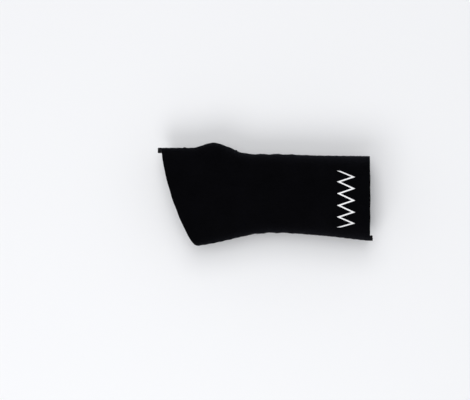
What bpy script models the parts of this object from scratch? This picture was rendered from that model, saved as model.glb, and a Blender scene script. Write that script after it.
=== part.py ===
"""Pull-on wrist guard for the left hand: two panels of laminated stretch fabric, sewn together along both sides.

Each panel is a sandwich of outer jersey, foam core and lining, and turns inwards at its side seams, where an
overlock thread binds the two allowances. The thumb side is left unsewn for the thumb, between two bar tacks.
A zigzag transfer print lies on the back of the cuff, and a care label hangs from the little-finger seam inside.

Metres. The guard lies on its palm side: +X towards the forearm, +Y towards the thumb, +Z out of the back of the
hand. The shape is worked out with X = 0 at the wrist, and the finished pieces hang from one empty that brings
the origin to the middle of the footprint, on the surface that the guard lies on.
"""

import math
from typing import NamedTuple

import bmesh
import bpy
import numpy as np
from mathutils import Matrix, Vector

MM = 0.001

# Lengths along the arm, from the wrist
HAND_LENGTH = 95.2 * MM  # wrist to the finger edge, at the thumb side
FOREARM_LENGTH = 81.6 * MM  # wrist to the forearm edge
FINGER_SLANT = 32.0 * MM  # the little-finger end of the finger edge lies this much nearer the wrist
FINGER_CURVE = 1.75  # power of the slant: straight across at the thumb side, steep at the little finger
PALM_RELIEF = 9.0 * MM  # the palm's finger edge is cut back this much more, mid-palm
EDGE_DRAW_IN = 0.5 * MM  # stretched cloth pulls back between the stiff seams

# Laminate
JERSEY = 0.50 * MM
CORE = 0.90 * MM
LINING = 0.40 * MM
PLY_GAP = 0.25 * MM  # between the plies
LAMINATE = JERSEY + CORE + LINING + 2 * PLY_GAP

# Side seams
SEAM_HEIGHT = 26.0 * MM  # height of the seam plane above the surface
SEAM_GAP = 0.30 * MM  # between the two allowances
FOLD_RADIUS = LAMINATE + 0.2 * MM  # outside radius where a panel turns in
ALLOWANCE_PAST_FOLD = 1.9 * MM  # flat part of an allowance, from the fold to its raw edge
ALLOWANCE = FOLD_RADIUS + ALLOWANCE_PAST_FOLD
SEAM_TAIL = 2.8 * MM  # the stiff seam stands this much past the cloth at its long ends
SEAM_STUB = 0.6 * MM  # and this much at its other ends
THREAD = 0.40 * MM  # thickness of the overlock binding
THREAD_GAP = 0.20 * MM
THREAD_SHORT_OF_FOLD = 0.4 * MM
THREAD_COVER = ALLOWANCE_PAST_FOLD - THREAD_SHORT_OF_FOLD  # how far the binding reaches over the allowances

# Thumb opening, in the thumb-side seam
THUMB_HOLE_LENGTH = 39.0 * MM
THUMB_HOLE_TO_WRIST = 34.0 * MM  # its near end, from the wrist
THUMB_HOLE_BACK_RISE = 3.0 * MM  # how far it arches into the back panel
THUMB_HOLE_PALM_DROP = 19.0 * MM  # and into the palm panel
THUMB_HOLE_ROUNDNESS = 0.62  # 0.5 is an ellipse, 1 is a leaf with pointed ends

# Bar tacks, across the seam at both ends of the thumb opening
TACK_LENGTH = 9.0 * MM
TACK_WIDTH = 2.4 * MM
TACK_HEIGHT = 0.4 * MM
TACK_FROM_HOLE = 2.2 * MM
SURFACE_GAP = 0.20 * MM  # between the cloth and what lies on it

# Transfer print, on the back of the cuff
PRINT_FROM_EDGE = 13.1 * MM
PRINT_WIDTH = 15.4 * MM
PRINT_LENGTH = 50.0 * MM
PRINT_STROKE = 1.3 * MM
PRINT_FILM = 0.15 * MM
PRINT_ZIGZAGS = 5
PRINT_SHIFT = -2.6 * MM  # towards the little finger, from the middle of the back panel

# Care label, inside, on the little-finger seam
LABEL_WIDTH = 22.0 * MM
LABEL_DROP = 27.0 * MM
LABEL_THICKNESS = 0.45 * MM
LABEL_FROM_EDGE = 20.0 * MM
LABEL_OFF_LINING = 0.8 * MM
LABEL_BELOW_THREAD = 1.6 * MM

# Fineness of the lofts
WEB_ROWS = 3
HOLE_ROWS = 10
CUFF_ROWS = 11
COLUMNS = 12
FOLD_STEPS = 2
WALL_SAMPLES = 97


class Section(NamedTuple):
    """Outside of the guard across the arm: reach to the thumb side and the little-finger side, and top and bottom."""

    x: float
    thumb_side: float
    finger_side: float
    top: float
    bottom: float
    squareness: float  # exponent of the superellipse; 2 is an ellipse


HOLE_END = -THUMB_HOLE_TO_WRIST
HOLE_START = HOLE_END - THUMB_HOLE_LENGTH
HOLE_MIDDLE = (HOLE_START + HOLE_END) / 2

# The crest of the thumb's ball follows the thumb opening. A bottom under 0 is where the cloth lies flat.
SECTIONS = (
    Section(-HAND_LENGTH, 39.8 * MM, 50.0 * MM, 43.0 * MM, 8.0 * MM, 2.7),
    Section(HOLE_START + 4.0 * MM, 39.8 * MM, 44.5 * MM, 45.0 * MM, 2.5 * MM, 2.6),
    Section(HOLE_MIDDLE + 2.8 * MM, 44.2 * MM, 41.2 * MM, 47.0 * MM, -2.0 * MM, 2.4),
    Section(HOLE_END - 3.0 * MM, 40.0 * MM, 38.1 * MM, 48.0 * MM, -1.8 * MM, 2.3),
    Section(HOLE_END + 7.0 * MM, 35.7 * MM, 35.8 * MM, 48.5 * MM, 0.6 * MM, 2.25),
    Section(HOLE_END + 18.0 * MM, 34.4 * MM, 33.6 * MM, 49.0 * MM, 3.5 * MM, 2.2),
    Section(0.0, 34.4 * MM, 32.4 * MM, 50.0 * MM, 5.0 * MM, 2.1),
    Section(FOREARM_LENGTH / 2, 33.1 * MM, 34.8 * MM, 53.0 * MM, 2.0 * MM, 2.1),
    Section(FOREARM_LENGTH, 32.8 * MM, 39.2 * MM, 56.0 * MM, -3.0 * MM, 2.1),
)
SECTION_X = np.array([section.x for section in SECTIONS])

BACK, PALM = 1, -1  # the two panels, by the side of the seam plane that they lie on
THUMB, LITTLE = 1, -1  # the two seams, by the sign of Y

SPRING_LINE = SEAM_GAP / 2 + FOLD_RADIUS  # height off the seam plane where wall meets fold


def clear_scene():
    for old in list(bpy.data.objects):
        bpy.data.objects.remove(old, do_unlink=True)


def measure_at(name, x):
    """One measure of the sections read at x, on a smooth curve that never swings past them."""
    values = np.array([getattr(section, name) for section in SECTIONS])
    spans = np.diff(SECTION_X)
    rises = np.diff(values) / spans
    slopes = np.zeros(len(values))
    slopes[0], slopes[-1] = rises[0], rises[-1]
    for k in range(1, len(values) - 1):
        if rises[k - 1] * rises[k] > 0:
            near, far = 2 * spans[k] + spans[k - 1], spans[k] + 2 * spans[k - 1]
            slopes[k] = (near + far) / (near / rises[k - 1] + far / rises[k])
    k = int(np.clip(np.searchsorted(SECTION_X, x) - 1, 0, len(spans) - 1))
    t = float(np.clip((x - SECTION_X[k]) / spans[k], 0, 1))
    return (
        values[k] * (1 + 2 * t) * (1 - t) ** 2
        + slopes[k] * spans[k] * t * (1 - t) ** 2
        + values[k + 1] * t * t * (3 - 2 * t)
        + slopes[k + 1] * spans[k] * t * t * (t - 1)
    )


def wall_curve(panel, x):
    """Outer face of a panel's wall at x, from the thumb-side fold to the little-finger fold.

    Gives the points (y, z), their outward normals and their distances along the curve.
    """
    thumb_side, finger_side = measure_at("thumb_side", x), measure_at("finger_side", x)
    half_width = (thumb_side + finger_side) / 2
    middle = (thumb_side - finger_side) / 2
    spring = SEAM_HEIGHT + panel * SPRING_LINE
    crown = measure_at("top", x) if panel == BACK else measure_at("bottom", x)
    power = 2 / measure_at("squareness", x)
    angle = np.linspace(0, math.pi, WALL_SAMPLES)
    y = middle + half_width * np.sign(np.cos(angle)) * np.abs(np.cos(angle)) ** power
    z = spring + (crown - spring) * np.sin(angle) ** power
    z = np.maximum(z, 0)
    points = np.column_stack([y, z])
    steps = np.linalg.norm(np.diff(points, axis=0), axis=1)
    distances = np.concatenate([[0], np.cumsum(steps)])
    along = np.gradient(points, distances, axis=0)
    along /= np.linalg.norm(along, axis=1)[:, None]
    normals = np.column_stack([-along[:, 1], along[:, 0]]) * -panel
    normals[0], normals[-1] = (1, 0), (-1, 0)
    return points, normals, distances


def wall_point(panel, x, from_thumb_fold, depth):
    """A point under the panel's outer face, at a distance round the wall from the thumb-side fold."""
    points, normals, distances = wall_curve(panel, x)
    y, z, ny, nz = (
        np.interp(from_thumb_fold, distances, values)
        for values in (points[:, 0], points[:, 1], normals[:, 0], normals[:, 1])
    )
    length = math.hypot(ny, nz)
    return (x, y - depth * ny / length, z - depth * nz / length)


def wall_length(panel, x):
    return wall_curve(panel, x)[2][-1]


def hole_rim(panel, x):
    """How far the thumb opening reaches into a panel's wall at x; nothing beside the opening."""
    height = THUMB_HOLE_BACK_RISE if panel == BACK else THUMB_HOLE_PALM_DROP
    q = (x - HOLE_MIDDLE) / (THUMB_HOLE_LENGTH / 2)
    return height * max(0.0, 1 - q * q) ** THUMB_HOLE_ROUNDNESS


def rows():
    """Positions of the rows along the thumb-side seam: closer together at both ends of the thumb opening."""
    web = np.linspace(-HAND_LENGTH, HOLE_START, WEB_ROWS + 1)
    turn = np.linspace(0, math.pi, HOLE_ROWS + 1)
    hole = HOLE_START + THUMB_HOLE_LENGTH * (1 - np.cos(turn)) / 2
    cuff = np.linspace(HOLE_END, FOREARM_LENGTH, CUFF_ROWS + 1)
    return np.concatenate([web, hole[1:], cuff[1:]])


def row_x(panel, row, across):
    """X where a row crosses the panel, a share across it from the thumb side.

    The slant of the finger edge dies out towards the forearm edge, and the palm's relief by the thumb opening.
    """
    x = rows()[row]
    from_forearm = (FOREARM_LENGTH - x) / (FOREARM_LENGTH + HAND_LENGTH)
    from_opening = max(0.0, (HOLE_START - x) / (HOLE_START + HAND_LENGTH))
    bow = math.sin(math.pi * across)
    slant = FINGER_SLANT * across**FINGER_CURVE * from_forearm
    relief = (PALM_RELIEF if panel == PALM else EDGE_DRAW_IN) * bow * from_opening
    return x + slant + relief - EDGE_DRAW_IN * bow * (1 - from_forearm)


def fold_point(panel, seam, x, turn):
    """A point round the fold at a seam: turn 0 is at the wall, and a quarter turn is at the allowance."""
    reach = measure_at("thumb_side" if seam == THUMB else "finger_side", x)
    y = reach - FOLD_RADIUS * (1 - math.cos(turn))
    z = SEAM_HEIGHT + panel * (SPRING_LINE - FOLD_RADIUS * math.sin(turn))
    return (x, seam * y, z)


def allowance_edge(panel, seam, x):
    """The raw edge of a seam allowance."""
    _, y, z = fold_point(panel, seam, x, math.pi / 2)
    return (x, y - seam * (ALLOWANCE - FOLD_RADIUS), z)


def seam_rows(seam):
    """The rows that each stretch of a seam runs over, with how far its two ends stand out."""
    last = WEB_ROWS + HOLE_ROWS + CUFF_ROWS
    if seam == LITTLE:
        return {"little_finger": (0, last, SEAM_STUB, SEAM_TAIL)}
    return {
        "web": (0, WEB_ROWS, SEAM_TAIL, 0.0),
        "thumb_side": (WEB_ROWS + HOLE_ROWS, last, 0.0, SEAM_STUB),
    }


def seam_stretch(panel, seam, stretch):
    """X of each row of a stretch of seam, without and with its ends standing out."""
    first, last, tail_before, tail_after = stretch
    across = 0.0 if seam == THUMB else 1.0
    flush = [row_x(panel, row, across) for row in range(first, last + 1)]
    tailed = [flush[0] - tail_before, *flush[1:-1], flush[-1] + tail_after]
    return flush, tailed


def link(obj, empty, collection, finish):
    obj.parent = empty
    collection.objects.link(obj)
    obj.data.materials.append(finish)
    return obj


def shaded_mesh(name, bm, outward=None):
    """The mesh of a solid, or of an open surface whose biggest face is made to look outward."""
    mesh = bpy.data.meshes.new(name)
    bmesh.ops.recalc_face_normals(bm, faces=bm.faces)
    if outward:
        biggest = max(bm.faces, key=lambda face: face.calc_area())
        if biggest.normal.dot(outward) < 0:
            bmesh.ops.reverse_faces(bm, faces=bm.faces)
    bm.to_mesh(mesh)
    bm.free()
    mesh.shade_smooth()
    mesh.set_sharp_from_angle(angle=math.radians(40))
    return mesh


def film_object(name, bm, outward, thickness, offset):
    """A thin piece, as an open surface that Solidify gives its thickness."""
    obj = bpy.data.objects.new(name, shaded_mesh(name, bm, outward))
    solidify = obj.modifiers.new("thickness", "SOLIDIFY")
    solidify.thickness = thickness
    solidify.offset = offset
    return obj


def sheet_faces(bm, grid):
    """Joins a grid of vertices, given as rows, with quads."""
    for near, far in zip(grid, grid[1:]):
        for k in range(len(near) - 1):
            bm.faces.new((near[k], near[k + 1], far[k + 1], far[k]))


def columns():
    """Shares across a panel, closer together towards the seams, where it curves most."""
    even = np.linspace(0, 1, COLUMNS + 1)
    return (even + (1 - np.cos(math.pi * even)) / 2) / 2


def panel_surface(name, panel):
    """The outer face of a panel: a lofted wall with its turned-in allowances."""
    bm = bmesh.new()
    grid = []
    for row in range(len(rows())):
        line = []
        rim = hole_rim(panel, row_x(panel, row, 0))
        for across in columns():
            x = row_x(panel, row, across)
            round_wall = wall_length(panel, x) * across + rim * (1 - across) ** 2
            line.append(bm.verts.new(wall_point(panel, x, round_wall, 0)))
        grid.append(line)
    sheet_faces(bm, grid)
    for seam in (THUMB, LITTLE):
        for stretch in seam_rows(seam).values():
            first = stretch[0]
            _, tailed = seam_stretch(panel, seam, stretch)
            strip = []
            for step, x in enumerate(tailed):
                wall = grid[first + step][0 if seam == THUMB else -1]
                line = [wall]
                for k in range(1, FOLD_STEPS + 1):
                    turn = math.pi / 2 * k / FOLD_STEPS
                    line.append(bm.verts.new(fold_point(panel, seam, x, turn)))
                line.append(bm.verts.new(allowance_edge(panel, seam, x)))
                strip.append(line)
            sheet_faces(bm, strip)
    return shaded_mesh(name, bm, Vector((0, 0, panel)))


def panel_ply(name, surface, depth, thickness):
    """One ply of a panel, as a solid that starts at a depth under the panel's outer face."""
    obj = bpy.data.objects.new(name, surface.copy())
    solidify = obj.modifiers.new("thickness", "SOLIDIFY")
    solidify.thickness = thickness
    solidify.offset = -1 - 2 * depth / thickness
    solidify.use_even_offset = True
    return obj


def swept_ring(name, rings):
    """A closed solid swept through rings of points, capped at both ends."""
    bm = bmesh.new()
    made = [[bm.verts.new(point) for point in ring] for ring in rings]
    for near, far in zip(made, made[1:]):
        for k in range(len(near)):
            n = (k + 1) % len(near)
            bm.faces.new((near[k], near[n], far[n], far[k]))
    bm.faces.new(made[0])
    bm.faces.new(made[-1])
    return bpy.data.objects.new(name, shaded_mesh(name, bm))


def overlock(name, seam, stretch):
    """The thread that binds both allowances, as a channel round their raw edges."""
    _, tailed = seam_stretch(BACK, seam, stretch)
    tailed[0] += THREAD_GAP
    tailed[-1] -= THREAD_GAP
    inside = SEAM_GAP / 2 + LAMINATE + THREAD_GAP
    outside = inside + THREAD
    rings = []
    for x in tailed:
        edge = abs(allowance_edge(BACK, seam, x)[1])
        open_end = edge + THREAD_COVER
        inner, outer = edge - THREAD_GAP, edge - THREAD_GAP - THREAD
        profile = (
            (open_end, outside),
            (outer, outside),
            (outer, -outside),
            (open_end, -outside),
            (open_end, -inside),
            (inner, -inside),
            (inner, inside),
            (open_end, inside),
        )
        rings.append([(x, seam * y, SEAM_HEIGHT + z) for y, z in profile])
    return swept_ring(name, rings)


def bar_tack(name, x):
    """A dense block of stitches across the seam, on the outside."""
    bm = bmesh.new()
    bmesh.ops.create_cube(bm, size=1)
    bmesh.ops.scale(bm, vec=(TACK_WIDTH, TACK_HEIGHT, TACK_LENGTH), verts=bm.verts)
    obj = bpy.data.objects.new(name, shaded_mesh(name, bm))
    reach = max(measure_at("thumb_side", x + side * TACK_WIDTH / 2) for side in (-1, 0, 1))
    obj.location = (x, reach + SURFACE_GAP + TACK_HEIGHT / 2, SEAM_HEIGHT)
    bevel = obj.modifiers.new("rounded", "BEVEL")
    bevel.width = TACK_HEIGHT / 3
    bevel.segments = 1
    return obj


def cuff_print(name):
    """A zigzag stroke of transfer film, running round the back of the cuff, with pointed turns."""
    middle_x = FOREARM_LENGTH - PRINT_FROM_EDGE - PRINT_WIDTH / 2
    legs = 2 * PRINT_ZIGZAGS
    step = PRINT_LENGTH / legs
    slope = PRINT_WIDTH / (step + PRINT_STROKE)
    reach, half_stroke = slope * step / 2, slope * PRINT_STROKE / 2  # both along the arm
    depth = -SURFACE_GAP - PRINT_FILM
    bm = bmesh.new()
    lines = []
    pieces_a_leg = 3
    for k in range(legs * pieces_a_leg + 1):
        leg = k / pieces_a_leg
        round_print = (leg - legs / 2) * step
        side = 1 - 2 * abs(leg % 2 - 1)
        line = []
        for edge in (-half_stroke, half_stroke):
            x = middle_x + side * reach + edge
            at = wall_length(BACK, x) / 2 - PRINT_SHIFT + round_print
            line.append(bm.verts.new(wall_point(BACK, x, at, depth)))
        lines.append(line)
    sheet_faces(bm, lines)
    return film_object(name, bm, Vector((0, 0, 1)), PRINT_FILM, -1)


def label_point(x, down):
    """A point of the care label's face at x: from under the seam's thread it settles onto the lining of the palm."""
    below_seam = SEAM_GAP / 2 + LAMINATE + THREAD_GAP + THREAD + LABEL_BELOW_THREAD
    root_depth = ALLOWANCE - THREAD_COVER / 2
    lying_depth = LAMINATE + LABEL_OFF_LINING
    t = min(1.0, 3 * down / LABEL_DROP)
    depth = root_depth + (lying_depth - root_depth) * t * t * (3 - 2 * t)
    return Vector(wall_point(PALM, x, wall_length(PALM, x) - (below_seam - SPRING_LINE) - down, depth))


def care_label(name):
    """A satin label that hangs from the little-finger seam. Its origin and its X lie on the line that it turns about."""
    end = FOREARM_LENGTH - LABEL_FROM_EDGE
    near, far = label_point(end - LABEL_WIDTH, 0), label_point(end, 0)
    hinge = (near + far) / 2
    angle = math.atan2(far.y - near.y, far.x - near.x)
    bm = bmesh.new()
    lines = []
    for x in np.linspace(end - LABEL_WIDTH, end, 4):
        downs = np.linspace(0, LABEL_DROP, 8)
        lines.append([bm.verts.new(label_point(x, down) - hinge) for down in downs])
    sheet_faces(bm, lines)
    bmesh.ops.rotate(bm, matrix=Matrix.Rotation(-angle, 3, "Z"), verts=bm.verts)
    obj = film_object(name, bm, Vector((0, 1, 1)), LABEL_THICKNESS, 1)
    obj.location = hinge
    obj.rotation_euler.z = angle
    return obj


def finish(name, colour, roughness, metallic=0.0):
    material = bpy.data.materials.new(name)
    material.use_nodes = True
    shader = material.node_tree.nodes["Principled BSDF"]
    shader.inputs["Base Color"].default_value = (*colour, 1)
    shader.inputs["Roughness"].default_value = roughness
    shader.inputs["Metallic"].default_value = metallic
    return material


def centre_on_footprint(empty, pieces):
    """Moves the empty so that the origin is under the middle of everything, at the height of the surface."""
    bpy.context.view_layer.update()
    graph = bpy.context.evaluated_depsgraph_get()
    corners = []
    for piece in pieces:
        mesh = piece.evaluated_get(graph).to_mesh()
        corners += [piece.matrix_world @ vertex.co for vertex in mesh.vertices]
        piece.evaluated_get(graph).to_mesh_clear()
    corners = np.array(corners)
    lowest, highest = corners.min(axis=0), corners.max(axis=0)
    empty.location = (*-(lowest + highest)[:2] / 2, -lowest[2])


def main():
    clear_scene()
    collection = bpy.data.collections.new("wrist_guard")
    bpy.context.scene.collection.children.link(collection)
    empty = bpy.data.objects.new("footprint", None)
    collection.objects.link(empty)

    jersey = finish("black jersey", (0.012, 0.012, 0.014), 0.85)
    foam = finish("black foam", (0.02, 0.02, 0.022), 0.95)
    lining = finish("charcoal lining", (0.03, 0.03, 0.033), 0.9)
    thread = finish("black thread", (0.015, 0.015, 0.017), 0.6)
    film = finish("white transfer film", (0.85, 0.85, 0.86), 0.45)
    satin = finish("white satin", (0.7, 0.7, 0.69), 0.5)

    plies = (
        ("outer_jersey", 0.0, JERSEY, jersey),
        ("foam_core", JERSEY + PLY_GAP, CORE, foam),
        ("lining", JERSEY + CORE + 2 * PLY_GAP, LINING, lining),
    )
    pieces = []
    for panel_name, panel in (("back", BACK), ("palm", PALM)):
        surface = panel_surface(f"{panel_name}_surface", panel)
        for ply_name, depth, thickness, material in plies:
            ply = panel_ply(f"{panel_name}_{ply_name}", surface, depth, thickness)
            pieces.append(link(ply, empty, collection, material))
    for seam in (THUMB, LITTLE):
        for seam_name, stretch in seam_rows(seam).items():
            binding = overlock(f"{seam_name}_seam_overlock", seam, stretch)
            pieces.append(link(binding, empty, collection, thread))
    tacks = (
        ("web_bar_tack", HOLE_START - TACK_FROM_HOLE),
        ("wrist_bar_tack", HOLE_END + TACK_FROM_HOLE),
    )
    for tack_name, x in tacks:
        pieces.append(link(bar_tack(tack_name, x), empty, collection, thread))
    pieces.append(link(cuff_print("cuff_print"), empty, collection, film))
    pieces.append(link(care_label("care_label"), empty, collection, satin))
    centre_on_footprint(empty, pieces)


main()
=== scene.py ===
import math

import bmesh
import bpy
import numpy as np
from mathutils import Matrix, Vector


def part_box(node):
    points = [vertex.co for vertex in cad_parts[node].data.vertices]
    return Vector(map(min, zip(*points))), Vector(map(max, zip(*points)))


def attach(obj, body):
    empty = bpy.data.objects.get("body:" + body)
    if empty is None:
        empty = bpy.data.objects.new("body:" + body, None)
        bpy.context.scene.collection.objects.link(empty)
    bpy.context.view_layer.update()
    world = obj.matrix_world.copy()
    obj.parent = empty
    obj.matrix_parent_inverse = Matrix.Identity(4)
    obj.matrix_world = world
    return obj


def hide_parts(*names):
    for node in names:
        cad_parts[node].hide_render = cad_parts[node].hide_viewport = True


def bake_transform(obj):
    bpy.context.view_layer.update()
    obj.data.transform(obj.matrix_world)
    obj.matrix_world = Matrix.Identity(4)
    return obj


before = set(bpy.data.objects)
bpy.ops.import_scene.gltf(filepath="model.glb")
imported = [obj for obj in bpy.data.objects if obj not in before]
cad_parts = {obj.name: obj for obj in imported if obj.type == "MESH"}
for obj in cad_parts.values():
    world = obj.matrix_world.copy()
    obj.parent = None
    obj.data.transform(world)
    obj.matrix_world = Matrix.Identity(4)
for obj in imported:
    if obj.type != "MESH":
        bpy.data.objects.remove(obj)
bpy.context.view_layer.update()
bpy.ops.object.select_all(action="DESELECT")


# ---- Panels -----------------------------------------------------------------------------------------------
# Two panels, back and palm, are cut from a laminate of outer jersey, thin closed-cell foam and brushed
# lining. They are sewn right sides together down both sides of the hand, so that each turns inwards at its
# seams. The finger and forearm edges and the thumb opening are left as cut, without a hem.

MM = 0.001
HAND_LENGTH = 95.2 * MM
FOREARM_LENGTH = 81.6 * MM
FINGER_SLANT = 32.0 * MM
FINGER_CURVE = 1.75
PALM_RELIEF = 9.0 * MM
EDGE_DRAW_IN = 0.5 * MM
EDGE_WANDER = 0.12 * MM
EDGE_WAVES = 37
EDGE_ROLL = 0.25 * MM
EDGE_ROLL_REACH = 1.8 * MM
SOFT_CUT = 0.13 * MM

JERSEY = 0.50 * MM
CORE = 1.24 * MM
LINING = 0.50 * MM
GLUE_LINE = 0.03 * MM
LAMINATE = JERSEY + CORE + LINING + 2 * GLUE_LINE

SEAM_HEIGHT = 26.0 * MM
SEAM_GAP = 0.12 * MM
FOLD_RADIUS = 2.5 * MM
SPRING_LINE = SEAM_GAP / 2 + FOLD_RADIUS
ALLOWANCE_PAST_FOLD = 1.9 * MM
ALLOWANCE = FOLD_RADIUS + ALLOWANCE_PAST_FOLD
SEAM_TAIL = 2.8 * MM
SEAM_STUB = 0.6 * MM
TAIL_REACH = 6.0 * MM  # the length of cloth that is drawn out into a tail or stub

THUMB_HOLE_LENGTH = 39.0 * MM
HOLE_END = -34.0 * MM
HOLE_START = HOLE_END - THUMB_HOLE_LENGTH
HOLE_MIDDLE = (HOLE_START + HOLE_END) / 2
THUMB_HOLE_BACK_RISE = 3.0 * MM
THUMB_HOLE_PALM_DROP = 19.0 * MM
THUMB_HOLE_ROUNDNESS = 0.62

SOFT_LANDING = 2.0 * MM  # below this height the palm flattens gently onto the table
LOWEST = 0.02 * MM

PUCKER, PUCKER_PITCH, PUCKER_FADE = 0.14 * MM, 6.1 * MM, 6.0 * MM
SLACK = 0.22 * MM
CREASE, CREASE_PITCH, CREASE_LEAN = 0.30 * MM, 13.0 * MM, 0.28
CREASES_FROM_WRIST, CREASES_FROM_SEAM = 24.0 * MM, 16.0 * MM

BACK, PALM = 1, -1
THUMB, LITTLE = 1, -1

# Along the arm from the wrist: reach to the thumb side, reach to the little finger, top, bottom, squareness.
SECTIONS = np.array(
    (
        (-HAND_LENGTH / MM, 39.8, 50.0, 43.0, 8.0, 2.7),
        (HOLE_START / MM + 4.0, 39.8, 44.5, 45.0, 2.5, 2.6),
        (HOLE_MIDDLE / MM + 2.8, 44.2, 41.2, 47.0, -2.0, 2.4),
        (HOLE_END / MM - 3.0, 40.0, 38.1, 48.0, -1.8, 2.3),
        (HOLE_END / MM + 7.0, 35.7, 35.8, 48.5, 0.6, 2.25),
        (HOLE_END / MM + 18.0, 34.4, 33.6, 49.0, 3.5, 2.2),
        (0.0, 34.4, 32.4, 50.0, 5.0, 2.1),
        (FOREARM_LENGTH / MM / 2, 33.1, 34.8, 53.0, 2.0, 2.1),
        (FOREARM_LENGTH / MM, 32.8, 39.2, 56.0, -3.0, 2.1),
    )
) * (MM, MM, MM, MM, MM, 1)

WEB_ROWS, HOLE_ROWS, CUFF_ROWS = 14, 36, 60
HOLE_ROWS_EVEN = 0.3
PANEL_COLUMNS = 64
FOLD_STEPS, ALLOWANCE_STEPS = 7, 3
WALL_STEPS = 241


def measures(x):
    """The five measures of the sections at each x, on smooth curves that never swing past them."""
    stations = SECTIONS[:, 0]
    spans = np.diff(stations)
    values = SECTIONS[:, 1:]
    rises = np.diff(values, axis=0) / spans[:, None]
    slopes = np.zeros_like(values)
    slopes[0], slopes[-1] = rises[0], rises[-1]
    for k in range(1, len(stations) - 1):
        near, far = 2 * spans[k] + spans[k - 1], spans[k] + 2 * spans[k - 1]
        turns = rises[k - 1] * rises[k] > 0
        safe_before = np.where(turns, rises[k - 1], 1)
        safe_after = np.where(turns, rises[k], 1)
        slopes[k] = np.where(turns, (near + far) / (near / safe_before + far / safe_after), 0)
    x = np.atleast_1d(np.asarray(x, float))
    k = np.clip(np.searchsorted(stations, x) - 1, 0, len(spans) - 1)
    span = spans[k][:, None]
    t = np.clip((x - stations[k]) / spans[k], 0, 1)[:, None]
    return (
        values[k] * (1 + 2 * t) * (1 - t) ** 2
        + slopes[k] * span * t * (1 - t) ** 2
        + values[k + 1] * t * t * (3 - 2 * t)
        + slopes[k + 1] * span * t * t * (t - 1)
    )


def wall_arcs(panel, x):
    """Each section's outer line from the thumb-side fold to the other: y, z and the distance along it."""
    thumb_side, finger_side, top, bottom, squareness = measures(x).T[:, :, None]
    spring = SEAM_HEIGHT + panel * SPRING_LINE
    crown = top if panel == BACK else bottom
    angle = np.linspace(0, math.pi, WALL_STEPS)[None, :]
    power = 2 / squareness
    cosine = np.cos(angle)
    sideways = np.sign(cosine) * np.abs(cosine) ** power
    y = (thumb_side - finger_side) / 2 + (thumb_side + finger_side) / 2 * sideways
    z = spring + (crown - spring) * np.abs(np.sin(angle)) ** power
    z = np.where(z < SOFT_LANDING, SOFT_LANDING * np.exp(np.clip(z / SOFT_LANDING - 1, -9, 0)), z)
    steps = np.hypot(np.diff(y, axis=1), np.diff(z, axis=1))
    distance = np.concatenate([np.zeros((len(y), 1)), np.cumsum(steps, axis=1)], axis=1)
    return y, z, distance


def wall_length(panel, x):
    """How far it is round the panel's wall at each x, from fold to fold."""
    return wall_arcs(panel, x)[2][:, -1]


def relief(panel, x, distance, length):
    """How far the cloth stands off its smooth shape: seam puckers, slack waves and wrist creases."""
    from_seam = np.minimum(distance, length - distance)
    uneven = 1.9 * np.sin(x / (13 * MM)) + 2 * panel
    pucker = np.sin(2 * math.pi * x / PUCKER_PITCH + uneven)
    pucker = PUCKER * np.exp(-np.abs(from_seam) / PUCKER_FADE) * pucker
    slack = np.sin(x / (17 * MM) + 1.3 * np.sin(distance / (29 * MM)) + panel)
    slack = SLACK * slack * np.sin(distance / (21 * MM) + 0.7 * np.sin(x / (31 * MM)))
    wrist = np.exp(-((x / CREASES_FROM_WRIST) ** 2)) * np.exp(-from_seam / CREASES_FROM_SEAM)
    crease = CREASE * wrist * np.sin(2 * math.pi * (x + CREASE_LEAN * from_seam) / CREASE_PITCH)
    return pucker + slack + crease


def wall_places(panel, x, distance):
    """Where each distance round the smooth wall comes: y, z, and the outward direction's y and z."""
    ys, zs, arcs = wall_arcs(panel, x)
    step = 0.4 * MM
    found = []
    for k in range(len(x)):
        at = distance[k] + np.array((-step, 0.0, step))
        y, z = np.interp(at, arcs[k], ys[k]), np.interp(at, arcs[k], zs[k])
        out = np.array((-(z[2] - z[0]), y[2] - y[0])) * -panel
        out /= np.hypot(*out)
        found.append((y[1], z[1], out[0], out[1]))
    return np.array(found).T


def on_wall(panel, x, distance, lift=0.0):
    """Points of the panel's outer face, each a distance round the wall from the thumb-side fold."""
    x, distance = np.ravel(x), np.ravel(distance)
    y, z, out_y, out_z = wall_places(panel, x, distance)
    raised = np.ravel(lift) + relief(panel, x, distance, wall_length(panel, x))
    return np.column_stack([x, y + raised * out_y, np.maximum(z + raised * out_z, LOWEST)])


def row_places():
    """Rows along the thumb-side seam, closer together at both ends of the thumb opening."""
    web = np.linspace(-HAND_LENGTH, HOLE_START, WEB_ROWS + 1)
    even = np.linspace(0, 1, HOLE_ROWS + 1)
    crowded = (1 - np.cos(math.pi * even)) / 2
    hole = HOLE_START + THUMB_HOLE_LENGTH * (HOLE_ROWS_EVEN * even + (1 - HOLE_ROWS_EVEN) * crowded)
    cuff = np.linspace(HOLE_END, FOREARM_LENGTH, CUFF_ROWS + 1)
    return np.concatenate([web, hole[1:], cuff[1:]])


def row_x(panel, across):
    """X of every row at each share across the panel, with the slant and the cut of the finger edge."""
    x = row_places()[:, None]
    across = np.asarray(across, float)[None, :]
    from_forearm = (FOREARM_LENGTH - x) / (FOREARM_LENGTH + HAND_LENGTH)
    from_opening = np.maximum(0, (HOLE_START - x) / (HOLE_START + HAND_LENGTH))
    bow = np.sin(math.pi * across)
    slant = FINGER_SLANT * across**FINGER_CURVE * from_forearm
    cut_back = (PALM_RELIEF if panel == PALM else EDGE_DRAW_IN) * bow * from_opening
    at_edges = from_forearm**8 - (1 - from_forearm) ** 8
    wander = EDGE_WANDER * bow * np.sin(EDGE_WAVES * across + 5 * panel) * at_edges
    return x + slant + cut_back - EDGE_DRAW_IN * bow * (1 - from_forearm) + wander


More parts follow.
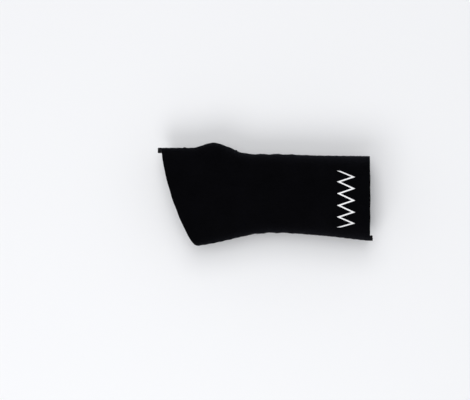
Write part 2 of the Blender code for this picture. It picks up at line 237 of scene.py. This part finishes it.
def edge_roll(panel, across):
    """How far the cloth stands out near its two cut ends, which roll in a little."""
    x = row_x(panel, across)
    from_end = np.minimum(x - x[:1], x[-1:] - x)
    return -EDGE_ROLL * np.exp(-from_end / EDGE_ROLL_REACH)


def hole_rim(panel):
    """How far the thumb opening reaches into the panel at each row."""
    height = THUMB_HOLE_BACK_RISE if panel == BACK else THUMB_HOLE_PALM_DROP
    q = (row_places() - HOLE_MIDDLE) / (THUMB_HOLE_LENGTH / 2)
    return height * np.maximum(0, 1 - q * q) ** THUMB_HOLE_ROUNDNESS


# Each seam: its side of the hand, its first and last rows, and how far it stands out past each end of them.
SEAMS = {
    "web": (THUMB, 0, WEB_ROWS, SEAM_TAIL, 0.0),
    "thumb_side": (THUMB, WEB_ROWS + HOLE_ROWS, WEB_ROWS + HOLE_ROWS + CUFF_ROWS, 0.0, SEAM_STUB),
    "little_finger": (LITTLE, 0, WEB_ROWS + HOLE_ROWS + CUFF_ROWS, SEAM_STUB, SEAM_TAIL),
}


def seam_x(seam_name):
    """X of each row along a seam, with its ends standing out past the cloth."""
    seam, first, last, before, after = SEAMS[seam_name]
    x = row_x(BACK, [0.0 if seam == THUMB else 1.0])[first : last + 1, 0].copy()
    x -= before * np.clip(1 - (x - x[0]) / TAIL_REACH, 0, 1)
    x += after * np.clip(1 - (x[-1] - x) / TAIL_REACH, 0, 1)
    return x


def seam_reach(seam, x):
    """How far the wall is from the middle of the arm at a seam."""
    return measures(x)[:, 0 if seam == THUMB else 1]


def fold_line(panel, seam, x, turn, inset=0.0):
    """The panel as it turns in at a seam: turn 0 is at the wall, a quarter turn is at the allowance."""
    pucker = relief(panel, x, np.zeros_like(x), wall_length(panel, x)) * math.cos(turn)
    y = seam_reach(seam, x) - FOLD_RADIUS * (1 - math.cos(turn)) - inset + pucker
    z = SEAM_HEIGHT + panel * (SPRING_LINE - FOLD_RADIUS * math.sin(turn))
    return np.column_stack([x, seam * y, np.full_like(x, z)])


def add_grid(bm, lines):
    """Quads between neighbouring lines of vertices."""
    for near, far in zip(lines, lines[1:]):
        for k in range(len(near) - 1):
            bm.faces.new((near[k], near[k + 1], far[k + 1], far[k]))


def sheet_mesh(name, bm, up=0, uv_layer=None, places=None):
    """The smooth mesh of bm, its faces turned one way; up is 1 or -1 if the outer side is above or below."""
    bmesh.ops.recalc_face_normals(bm, faces=bm.faces)
    if up and max(bm.faces, key=lambda face: face.calc_area()).normal.z * up < 0:
        bmesh.ops.reverse_faces(bm, faces=bm.faces)
    if places:
        for face in bm.faces:
            for loop in face.loops:
                loop[uv_layer].uv = places[loop.vert]
    mesh = bpy.data.meshes.new(name)
    bm.to_mesh(mesh)
    bm.free()
    mesh.shade_smooth()
    return mesh


def add_object(name, data):
    obj = bpy.data.objects.new(name, data)
    bpy.context.scene.collection.objects.link(obj)
    return obj


def panel_surface(panel):
    """The outer face of a panel as an open mesh, with a UV map in metres that follows the knit."""
    even = np.linspace(0, 1, PANEL_COLUMNS + 1)
    across = (even + (1 - np.cos(math.pi * even)) / 2) / 2
    x = row_x(panel, across)
    lengths = wall_length(panel, x.ravel()).reshape(x.shape)
    rim = hole_rim(panel)[:, None]
    distance = lengths * across[None, :] + rim * (1 - across[None, :]) ** 3
    points = on_wall(panel, x, distance, edge_roll(panel, across)).reshape(*x.shape, 3)
    bm = bmesh.new()
    uv_layer = bm.loops.layers.uv.new("knit")
    places = {}

    def vertex(point, u, v):
        made = bm.verts.new(point)
        places[made] = (u, v)
        return made

    grid = [[vertex(*corner) for corner in zip(*row)] for row in zip(points, x, distance)]
    add_grid(bm, grid)
    for seam_name, (seam, first, last, _, _) in SEAMS.items():
        sx = seam_x(seam_name)
        ends = wall_length(panel, sx) if seam == LITTLE else np.zeros_like(sx)
        turned = [(math.pi / 2 * k / FOLD_STEPS, 0.0) for k in range(1, FOLD_STEPS + 1)]
        insets = [ALLOWANCE_PAST_FOLD * k / ALLOWANCE_STEPS for k in range(1, ALLOWANCE_STEPS + 1)]
        columns = []
        for turn, inset in turned + [(math.pi / 2, inset) for inset in insets]:
            line = fold_line(panel, seam, sx, turn, inset)
            beyond = FOLD_RADIUS * turn + inset
            v = ends + beyond if seam == LITTLE else -beyond * np.ones_like(sx)
            columns.append([vertex(p, p[0], d) for p, d in zip(line, v)])
        strip = []
        for step in range(len(sx)):
            wall = grid[first + step][0 if seam == THUMB else -1]
            strip.append([wall] + [column[step] for column in columns])
        add_grid(bm, strip)
    return sheet_mesh("panel", bm, panel, uv_layer, places)


def thicken(obj, thickness, offset):
    """Gives an open mesh its thickness; offset -1 grows it inwards, 1 outwards and 0 both ways."""
    solidify = obj.modifiers.new("thickness", "SOLIDIFY")
    solidify.thickness = thickness
    solidify.offset = offset


def apply_modifiers(obj):
    bpy.ops.object.select_all(action="DESELECT")
    obj.select_set(True)
    bpy.context.view_layer.objects.active = obj
    for modifier in list(obj.modifiers):
        bpy.ops.object.modifier_apply(modifier=modifier.name)
    obj.select_set(False)
    return obj


def panel_ply(name, surface, depth, thickness):
    """One ply: the panel's face moved in by its depth and thickened, with softly rounded cut edges."""
    obj = add_object(name, surface.copy())
    thicken(obj, thickness, -1 - 2 * depth / thickness)
    bevel = obj.modifiers.new("soft cut", "BEVEL")
    bevel.width = SOFT_CUT
    bevel.segments = 2
    bevel.limit_method = "ANGLE"
    bevel.angle_limit = math.radians(60)
    return apply_modifiers(obj)


def new_material(name, finish):
    """A material with its finish, the values of its shader's sockets; also its nodes and links."""
    material = bpy.data.materials.new(name)
    material.use_nodes = True
    nodes = material.node_tree.nodes
    for socket, value in finish.items():
        nodes["Principled BSDF"].inputs[socket].default_value = value
    return material, nodes, material.node_tree.links


def math_node(nodes, links, operation, first, second=None, third=None):
    """One step of arithmetic on numbers or other nodes' outputs."""
    node = nodes.new("ShaderNodeMath")
    node.operation = operation
    for socket, value in zip(node.inputs, (first, second, third)):
        if value is None:
            continue
        if isinstance(value, (int, float)):
            socket.default_value = value
        else:
            links.new(value, socket)
    return node.outputs[0]


def colour_by(nodes, links, factor, low, high):
    """Base colour that follows a factor; low and high are each a place on the factor and a colour."""
    ramp = nodes.new("ShaderNodeValToRGB")
    for stop, (position, colour) in zip(ramp.color_ramp.elements, (low, high)):
        stop.position, stop.color = position, (*colour, 1)
    links.new(factor, ramp.inputs[0])
    links.new(ramp.outputs[0], nodes["Principled BSDF"].inputs["Base Color"])


def object_place(nodes):
    return nodes.new("ShaderNodeTexCoord").outputs["Object"]


def uv_place(nodes, links, uv_name):
    """The two numbers of a UV map."""
    uv = nodes.new("ShaderNodeUVMap")
    uv.uv_map = uv_name
    parts = nodes.new("ShaderNodeSeparateXYZ")
    links.new(uv.outputs[0], parts.inputs[0])
    return parts.outputs[0], parts.outputs[1]


def cells_at(nodes, links, vector, scale, feature="F1"):
    """Distance from the middle of each of many small cells."""
    cells = nodes.new("ShaderNodeTexVoronoi")
    cells.inputs["Scale"].default_value = scale
    cells.feature = feature
    links.new(vector, cells.inputs["Vector"])
    return cells.outputs["Distance"]


def noise_at(nodes, links, vector, scale, detail, roughness=0.55):
    noise = nodes.new("ShaderNodeTexNoise")
    noise.inputs["Scale"].default_value = scale
    noise.inputs["Detail"].default_value = detail
    noise.inputs["Roughness"].default_value = roughness
    links.new(vector, noise.inputs["Vector"])
    return noise.outputs["Fac"]


def bump_by(nodes, links, height, distance):
    bump = nodes.new("ShaderNodeBump")
    bump.inputs["Distance"].default_value = distance
    links.new(height, bump.inputs["Height"])
    links.new(bump.outputs[0], nodes["Principled BSDF"].inputs["Normal"])


def knit_height(nodes, links, u, v, wale, course):
    """Height of a jersey knit: columns of small V-shaped loops. u runs along the wales, v across them."""
    across = math_node(nodes, links, "FRACT", math_node(nodes, links, "DIVIDE", v, wale))
    away = math_node(nodes, links, "ABSOLUTE", math_node(nodes, links, "SUBTRACT", across, 0.5))
    along = math_node(nodes, links, "MULTIPLY_ADD", away, 1.3, math_node(nodes, links, "DIVIDE", u, course))
    loops = math_node(nodes, links, "SINE", math_node(nodes, links, "MULTIPLY", along, 2 * math.pi))
    loops = math_node(nodes, links, "MULTIPLY_ADD", loops, 0.35, 0.65)
    legs = math_node(nodes, links, "SINE", math_node(nodes, links, "MULTIPLY", away, 2 * math.pi))
    return math_node(nodes, links, "MULTIPLY", loops, math_node(nodes, links, "POWER", legs, 0.6))


def jersey_material():
    material, nodes, links = new_material(
        "black jersey knit",
        {
            "Roughness": 0.85,
            "Specular IOR Level": 0.02,
            "Sheen Weight": 0.025,
            "Sheen Roughness": 0.35,
            "Sheen Tint": (0.50, 0.55, 0.85, 1),
        },
    )
    u, v = uv_place(nodes, links, "knit")
    knit = knit_height(nodes, links, u, v, 0.62 * MM, 0.50 * MM)
    place = object_place(nodes)
    heather = noise_at(nodes, links, place, 900, 2)
    cloud = noise_at(nodes, links, place, 38, 3)
    half_cloud = math_node(nodes, links, "MULTIPLY", cloud, 0.5)
    shade = math_node(nodes, links, "MULTIPLY_ADD", heather, 0.5, half_cloud)
    shade = math_node(nodes, links, "SUBTRACT", shade, 0.1)
    shade = math_node(nodes, links, "MULTIPLY_ADD", knit, 0.22, shade)
    colour_by(nodes, links, shade, (0.32, (0.0008, 0.0008, 0.0012)), (0.78, (0.0026, 0.0026, 0.0036)))
    height = math_node(nodes, links, "MULTIPLY_ADD", cloud, 0.8, knit)
    bump_by(nodes, links, height, 0.10 * MM)
    return material


def foam_material():
    material, nodes, links = new_material(
        "black closed-cell foam", {"Roughness": 0.95, "Specular IOR Level": 0.08}
    )
    cells = cells_at(nodes, links, object_place(nodes), 4200)
    colour_by(nodes, links, cells, (0.1, (0.004, 0.004, 0.005)), (0.7, (0.015, 0.015, 0.017)))
    bump_by(nodes, links, cells, 0.08 * MM)
    return material


def lining_material():
    material, nodes, links = new_material(
        "charcoal brushed lining",
        {"Roughness": 0.95, "Specular IOR Level": 0.06, "Sheen Weight": 0.10, "Sheen Roughness": 0.5},
    )
    place = object_place(nodes)
    pile = cells_at(nodes, links, place, 1500, "SMOOTH_F1")
    brushed = noise_at(nodes, links, place, 160, 4)
    fibres = noise_at(nodes, links, place, 5200, 2)
    shade = math_node(nodes, links, "MULTIPLY", fibres, 0.3)
    shade = math_node(nodes, links, "MULTIPLY_ADD", brushed, 0.7, shade)
    colour_by(nodes, links, shade, (0.3, (0.006, 0.006, 0.007)), (0.75, (0.018, 0.018, 0.020)))
    height = math_node(nodes, links, "MULTIPLY_ADD", fibres, 0.5, pile)
    bump_by(nodes, links, height, 0.22 * MM)
    return material


# Each ply: its name, how deep it starts, its thickness, its material and its slot.
PLIES = (
    ("outer_jersey", 0.0, JERSEY, jersey_material(), "jersey"),
    ("foam_core", JERSEY + GLUE_LINE, CORE, foam_material(), "foam"),
    ("lining", JERSEY + CORE + 2 * GLUE_LINE, LINING, lining_material(), "lining"),
)

# The sizes are measured from the wrist, and the guard's frame from its middle. A bar tack shows how far apart
# the two are.
TACK_FROM_HOLE = 2.2 * MM
TACK_HEIGHT = 0.4 * MM
TACK_WIDTH = 2.4 * MM
SURFACE_GAP = 0.2 * MM
tack_low, tack_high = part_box("web_bar_tack")
tack_x = HOLE_START - TACK_FROM_HOLE
tack_reach = seam_reach(THUMB, tack_x + TACK_WIDTH / 2 * np.array((-1, 0, 1))).max()
SHIFT = Vector(
    (
        (tack_low.x + tack_high.x) / 2 - tack_x,
        (tack_low.y + tack_high.y) / 2 - (tack_reach + SURFACE_GAP + TACK_HEIGHT / 2),
        (tack_low.z + tack_high.z) / 2 - SEAM_HEIGHT,
    )
)


def settle(obj, material, node):
    """Moves a piece from the wrist's frame to the guard's, and lets it stand for its CAD node."""
    obj.data.materials.append(material)
    obj.data.transform(Matrix.Translation(SHIFT))
    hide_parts(node)


for panel_name, panel in (("back", BACK), ("palm", PALM)):
    surface = panel_surface(panel)
    for ply_name, depth, thickness, material, slot_name in PLIES:
        ply = panel_ply(f"{panel_name}_{ply_name}_cloth", surface, depth, thickness)
        settle(ply, material, f"{panel_name}_{ply_name}")
        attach(ply, "guard")
    bpy.data.meshes.remove(surface)


# ---- Side seams -------------------------------------------------------------------------------------------
# A three-thread overlock binds the two allowances of each seam: a looper thread zigzags over both faces and
# round the raw edge, and a needle thread holds it in a line of small stitches near the fold. It is black
# textured polyester. At the seam's ends the thread runs out to the tip of the stiff allowance.

STITCH = 1.25 * MM
THREAD_RADIUS = 0.17 * MM
THREAD_SHORT_OF_FOLD = 0.4 * MM
THREAD_COVER = ALLOWANCE_PAST_FOLD - THREAD_SHORT_OF_FOLD
THREAD_SIDES = 6
THREAD_STANDS_OUT = 0.8  # the share of its radius by which its middle stands off the cloth
THREAD_FROM_END = 0.4 * MM
LOOPER_SLACK = 0.12 * MM
LOOPER_LEAN = 0.1 * MM
LOOPER_PAST_EDGE = 0.12 * MM
LOOPER_INSIDE_EDGE = 0.15 * MM
NEEDLE_RISE = 0.10 * MM
NEEDLE_SINK = 0.25 * MM


def thread_material():
    material, nodes, links = new_material(
        "black polyester thread", {"Roughness": 0.6, "Specular IOR Level": 0.06, "Sheen Weight": 0.03}
    )
    wave = nodes.new("ShaderNodeTexWave")
    wave.inputs["Scale"].default_value = 1100
    wave.inputs["Distortion"].default_value = 2.5
    wave.bands_direction = "DIAGONAL"
    links.new(object_place(nodes), wave.inputs["Vector"])
    twist = wave.outputs["Fac"]
    colour_by(nodes, links, twist, (0.1, (0.0015, 0.0015, 0.002)), (0.9, (0.005, 0.005, 0.006)))
    bump_by(nodes, links, twist, 0.06 * MM)
    return material


def add_thread(bm, path, radius=THREAD_RADIUS):
    """A round thread along a path of points, closed at both ends."""
    path = [Vector(p) for p in path]
    rings = []
    side = None
    for k, point in enumerate(path):
        ahead = path[min(k + 1, len(path) - 1)] - path[max(k - 1, 0)]
        ahead.normalize()
        if side is None:
            side = ahead.orthogonal().normalized()
        side = (side - ahead * side.dot(ahead)).normalized()
        other = ahead.cross(side)
        ring = []
        for n in range(THREAD_SIDES):
            turn = 2 * math.pi * n / THREAD_SIDES
            ring.append(bm.verts.new(point + radius * (math.cos(turn) * side + math.sin(turn) * other)))
        rings.append(ring)
    for near, far in zip(rings, rings[1:]):
        for n in range(THREAD_SIDES):
            m = (n + 1) % THREAD_SIDES
            bm.faces.new((near[n], near[m], far[m], far[n]))
    bm.faces.new(rings[0][::-1])
    bm.faces.new(rings[-1])


def overlock(seam_name):
    """The looper thread, which goes to and fro round the raw edge, and a needle thread on each face."""
    seam = SEAMS[seam_name][0]
    rows_x = seam_x(seam_name)
    bm = bmesh.new()
    face = SEAM_GAP / 2 + LAMINATE + THREAD_RADIUS * THREAD_STANDS_OUT
    start, end = rows_x[0] + THREAD_FROM_END, rows_x[-1] - THREAD_FROM_END
    count = int((end - start) / STITCH)
    xs = np.linspace(start, end, 2 * count + 1)
    edge = seam_reach(seam, xs) - ALLOWANCE - THREAD_RADIUS
    line = edge + THREAD_COVER + THREAD_RADIUS
    looper = []
    for a, b, c in zip(range(0, 2 * count, 2), range(1, 2 * count, 2), range(2, 2 * count + 1, 2)):
        at_edge, past_edge = edge[b] + LOOPER_INSIDE_EDGE, edge[b] - LOOPER_PAST_EDGE
        looper += [
            (xs[a], line[a], face),
            ((xs[a] + xs[b]) / 2, (line[a] + edge[b]) / 2, face + LOOPER_SLACK),
            (xs[b], at_edge, face),
            (xs[b] + LOOPER_LEAN, past_edge, face / 2),
            (xs[b] + 2 * LOOPER_LEAN, past_edge, -face / 2),
            (xs[b], at_edge, -face),
            ((xs[b] + xs[c]) / 2, (line[c] + edge[b]) / 2, -face - LOOPER_SLACK),
            (xs[c] - LOOPER_LEAN, line[c], -face),
            (xs[c], line[c] + LOOPER_LEAN, 0),
        ]
    paths = [looper]
    for side in (1, -1):
        for a, c in zip(range(0, 2 * count, 2), range(2, 2 * count + 1, 2)):
            low, high = side * (face - NEEDLE_SINK), side * (face + NEEDLE_RISE)
            third = (xs[c] - xs[a]) / 3
            paths.append(
                [
                    (xs[a], line[a], low),
                    (xs[a] + third, line[a], high),
                    (xs[c] - third, line[c], high),
                    (xs[c], line[c], low),
                ]
            )
    for path in paths:
        add_thread(bm, [(x, seam * y, SEAM_HEIGHT + z) for x, y, z in path])
    name = f"{seam_name}_seam_thread"
    return add_object(name, sheet_mesh(name, bm))


thread = thread_material()
for seam_name in SEAMS:
    stitching = overlock(seam_name)
    settle(stitching, thread, f"{seam_name}_seam_overlock")
    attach(stitching, "guard")


# ---- Bar tacks --------------------------------------------------------------------------------------------
# A block of close zigzag stitches is sewn across the seam at both ends of the thumb opening, where the hand
# pulls on it. It is the same black thread, and pulls the two folds together.

TACK_LENGTH = 9.0 * MM
TACK_STITCHES = 24
TACK_THREAD_RADIUS = 0.2 * MM
TACK_OFF_FOLDS = 0.02 * MM
TACK_BOW = 0.22 * MM
TACK_LEAN = 0.14 * MM
TACK_DIP = 0.35  # the share of the valley between the folds that the stitches sink into
WALL_FALL = 0.06  # how fast the wall falls away above and below the folds
STITCH_STEPS = 4


def bar_tack(name, x):
    bm = bmesh.new()
    reach = float(seam_reach(THUMB, x)[0])
    for k in range(TACK_STITCHES + 1):
        height = TACK_LENGTH * (k / TACK_STITCHES - 0.5)
        from_fold = max(0.0, FOLD_RADIUS - abs(height))
        dip = TACK_DIP * (FOLD_RADIUS - math.sqrt(FOLD_RADIUS**2 - from_fold**2))
        fall = WALL_FALL * max(0.0, abs(height) - FOLD_RADIUS)
        y = reach - dip - fall + TACK_OFF_FOLDS
        shares = [n / STITCH_STEPS for n in range(STITCH_STEPS + 1)]
        path = [
            (
                x + TACK_WIDTH * (share - 0.5),
                y + TACK_BOW * math.sin(math.pi * share),
                SEAM_HEIGHT + height + TACK_LEAN * (2 * share - 1),
            )
            for share in shares
        ]
        add_thread(bm, path, TACK_THREAD_RADIUS)
    return add_object(name, sheet_mesh(name, bm))


for tack_name, x in (("web_bar_tack", tack_x), ("wrist_bar_tack", HOLE_END + TACK_FROM_HOLE)):
    stitches = bar_tack(f"{tack_name}_stitches", x)
    settle(stitches, thread, tack_name)
    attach(stitches, "guard")


# ---- Cuff print -------------------------------------------------------------------------------------------
# A zigzag stripe of white transfer film is pressed onto the back of the cuff. It is thin, soft and slightly
# glossier than the knit, whose loops show through it.

PRINT_FROM_EDGE = 13.1 * MM
PRINT_WIDTH = 15.4 * MM
PRINT_LENGTH = 50.0 * MM
PRINT_STROKE = 1.3 * MM
PRINT_ZIGZAGS = 5
PRINT_SHIFT = -2.6 * MM
PRINT_FILM = 0.10 * MM
PRINT_OFF_CLOTH = 0.03 * MM
STEPS_PER_LEG, STEPS_ACROSS = 10, 4


def film_material():
    material, nodes, links = new_material("white transfer film", {"Roughness": 0.48})
    place = object_place(nodes)
    wear = noise_at(nodes, links, place, 1400, 4, 0.7)
    colour_by(nodes, links, wear, (0.30, (0.50, 0.50, 0.52)), (0.46, (0.86, 0.86, 0.87)))
    bump_by(nodes, links, cells_at(nodes, links, place, 1900), 0.07 * MM)
    return material


def zigzag_stripe(name):
    """Legs that lean to and fro along the arm as the stripe goes round the cuff."""
    middle_x = FOREARM_LENGTH - PRINT_FROM_EDGE - PRINT_WIDTH / 2
    legs = 2 * PRINT_ZIGZAGS
    step = PRINT_LENGTH / legs
    slope = PRINT_WIDTH / (step + PRINT_STROKE)
    reach, half_stroke = slope * step / 2, slope * PRINT_STROKE / 2
    leg = np.arange(legs * STEPS_PER_LEG + 1) / STEPS_PER_LEG
    bm = bmesh.new()
    columns = []
    for share in np.linspace(-1, 1, STEPS_ACROSS + 1):
        x = middle_x + (1 - 2 * np.abs(leg % 2 - 1)) * reach + half_stroke * share
        at = wall_length(BACK, x) / 2 - PRINT_SHIFT + (leg - legs / 2) * step
        columns.append([bm.verts.new(p) for p in on_wall(BACK, x, at, PRINT_OFF_CLOTH)])
    add_grid(bm, columns)
    obj = add_object(name, sheet_mesh(name, bm, 1))
    thicken(obj, PRINT_FILM, 1)
    return apply_modifiers(obj)


stripe = zigzag_stripe("cuff_print_film")
settle(stripe, film_material(), "cuff_print")
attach(stripe, "guard")


# ---- Care label -------------------------------------------------------------------------------------------
# A blank loop label of white satin ribbon is folded in half, and both ends are caught under the thread of
# the little-finger seam. It lies along the lining of the palm.

LABEL_WIDTH = 22.0 * MM
LABEL_DROP = 27.0 * MM
LABEL_FROM_EDGE = 20.0 * MM
LABEL_OFF_LINING = 0.9 * MM
LABEL_BELOW_SEAM = 4.65 * MM
RIBBON = 0.16 * MM
RIBBON_APART = 0.30 * MM
SEWN_IN = 1.9 * MM
LABEL_CURL = 0.5 * MM
WARP_PITCH, WEFT_PITCH = 0.22 * MM, 0.90 * MM


def satin_material():
    material, nodes, links = new_material("white satin ribbon", {"Roughness": 0.38, "Sheen Weight": 0.3})
    threads = []
    for place, pitch in zip(uv_place(nodes, links, "weave"), (WARP_PITCH, WEFT_PITCH)):
        turns = math_node(nodes, links, "MULTIPLY", place, 2 * math.pi / pitch)
        threads.append(math_node(nodes, links, "SINE", turns))
    warp, weft = threads
    weave = math_node(nodes, links, "MULTIPLY_ADD", weft, 0.3, warp)
    soil = noise_at(nodes, links, object_place(nodes), 120, 4)
    colour_by(nodes, links, soil, (0.35, (0.60, 0.60, 0.58)), (0.65, (0.74, 0.74, 0.73)))
    bump_by(nodes, links, weave, 0.03 * MM)
    return material


def label_points(x, down, off):
    """The label's face at x, a distance down from the seam, raised off the lining by off."""
    root_depth = ALLOWANCE - THREAD_COVER / 2
    t = np.clip(3 * down / LABEL_DROP, 0, 1)
    depth = root_depth + (LAMINATE + LABEL_OFF_LINING - root_depth) * t * t * (3 - 2 * t)
    curl = LABEL_CURL * np.sin(math.pi * (x - FOREARM_LENGTH + LABEL_FROM_EDGE) / LABEL_WIDTH) * t
    at = wall_length(PALM, x) - (LABEL_BELOW_SEAM - SPRING_LINE) - down
    y, z, out_y, out_z = wall_places(PALM, x, at)
    inward = depth - curl + off
    return np.column_stack([x, y - inward * out_y, z - inward * out_z])


def care_label(name):
    """The ribbon goes down one side, round its fold and back up; both its ends are sewn in."""
    end = FOREARM_LENGTH - LABEL_FROM_EDGE
    across = np.linspace(end - LABEL_WIDTH, end, 17)
    turn = np.linspace(-math.pi / 2, math.pi / 2, 7)[1:-1]
    half = RIBBON_APART / 2
    sewn = np.linspace(-SEWN_IN, SEWN_IN, 11)[:-1]
    straight = np.concatenate([sewn, np.linspace(SEWN_IN, LABEL_DROP - half, 20)])
    down = np.concatenate([straight, LABEL_DROP - half + half * np.cos(turn), straight[::-1]])
    off = np.concatenate([np.full(len(straight), -half), half * np.sin(turn), np.full(len(straight), half)])
    length = np.concatenate([[0], np.cumsum(np.hypot(np.diff(down), np.diff(off)))])
    bm = bmesh.new()
    uv_layer = bm.loops.layers.uv.new("weave")
    places = {}
    columns = []
    for x in across:
        column = [bm.verts.new(p) for p in label_points(np.full(len(down), x), down, off)]
        places.update({made: (x, along) for made, along in zip(column, length)})
        columns.append(column)
    add_grid(bm, columns)
    obj = add_object(name, sheet_mesh(name, bm, 0, uv_layer, places))
    thicken(obj, RIBBON, 0)
    return apply_modifiers(obj)


label = care_label("care_label_ribbon")
settle(label, satin_material(), "care_label")
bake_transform(label)


# ---- Floor, light and camera ------------------------------------------------------------------------------
# The guard lies on a plain pale table, palm down, under even studio light: a broad overhead light, two soft
# side lights and a pale room. It is seen from straight above.

table_finish = {"Base Color": (0.86, 0.865, 0.88, 1), "Roughness": 0.9, "Specular IOR Level": 0.1}
bpy.ops.mesh.primitive_plane_add(size=8, location=(0, 0, -0.2 * MM))
table = bpy.context.object
table.name = "table"
table.data.materials.append(new_material("pale table", table_finish)[0])

world = bpy.data.worlds.new("studio")
bpy.context.scene.world = world
world.use_nodes = True
world.node_tree.nodes["Background"].inputs["Color"].default_value = (0.97, 0.98, 1.0, 1)
world.node_tree.nodes["Background"].inputs["Strength"].default_value = 0.42

overhead_light = bpy.data.lights.new("overhead", "SUN")
overhead_light.energy = 0.95
overhead_light.angle = math.radians(28)
add_object("overhead", overhead_light).rotation_euler = (math.radians(-7), math.radians(-3), 0)

# Each soft light: its name, where it is, what it points at, how wide it is, and its watts.
SOFT_LIGHTS = (
    ("key", (-0.1, 0.9, 1.6), (0, 0, 0), 0.9, 6),
    ("fill", (-0.25, -0.7, 1.1), (-0.05, -0.15, 0), 0.8, 5),
)
for light_name, place, aim, width, watts in SOFT_LIGHTS:
    light = bpy.data.lights.new(light_name, "AREA")
    light.shape = "DISK"
    light.size = width
    light.energy = watts
    lamp = add_object(light_name, light)
    lamp.location = place
    lamp.rotation_euler = (Vector(aim) - Vector(place)).to_track_quat("-Z", "Y").to_euler()

CAMERA_HEIGHT = 2.2
FRAME_WIDTH = 0.3995  # what the frame takes in at the height of the seams
lens_and_film = bpy.data.cameras.new("camera")
lens_and_film.sensor_width = 36
lens_and_film.lens = lens_and_film.sensor_width * (CAMERA_HEIGHT - SEAM_HEIGHT) / FRAME_WIDTH
lens_and_film.clip_end = 20
camera = add_object("camera", lens_and_film)
camera.location = (-0.0257, -0.0047, CAMERA_HEIGHT)
bpy.context.scene.camera = camera
bpy.context.scene.view_settings.view_transform = "Standard"
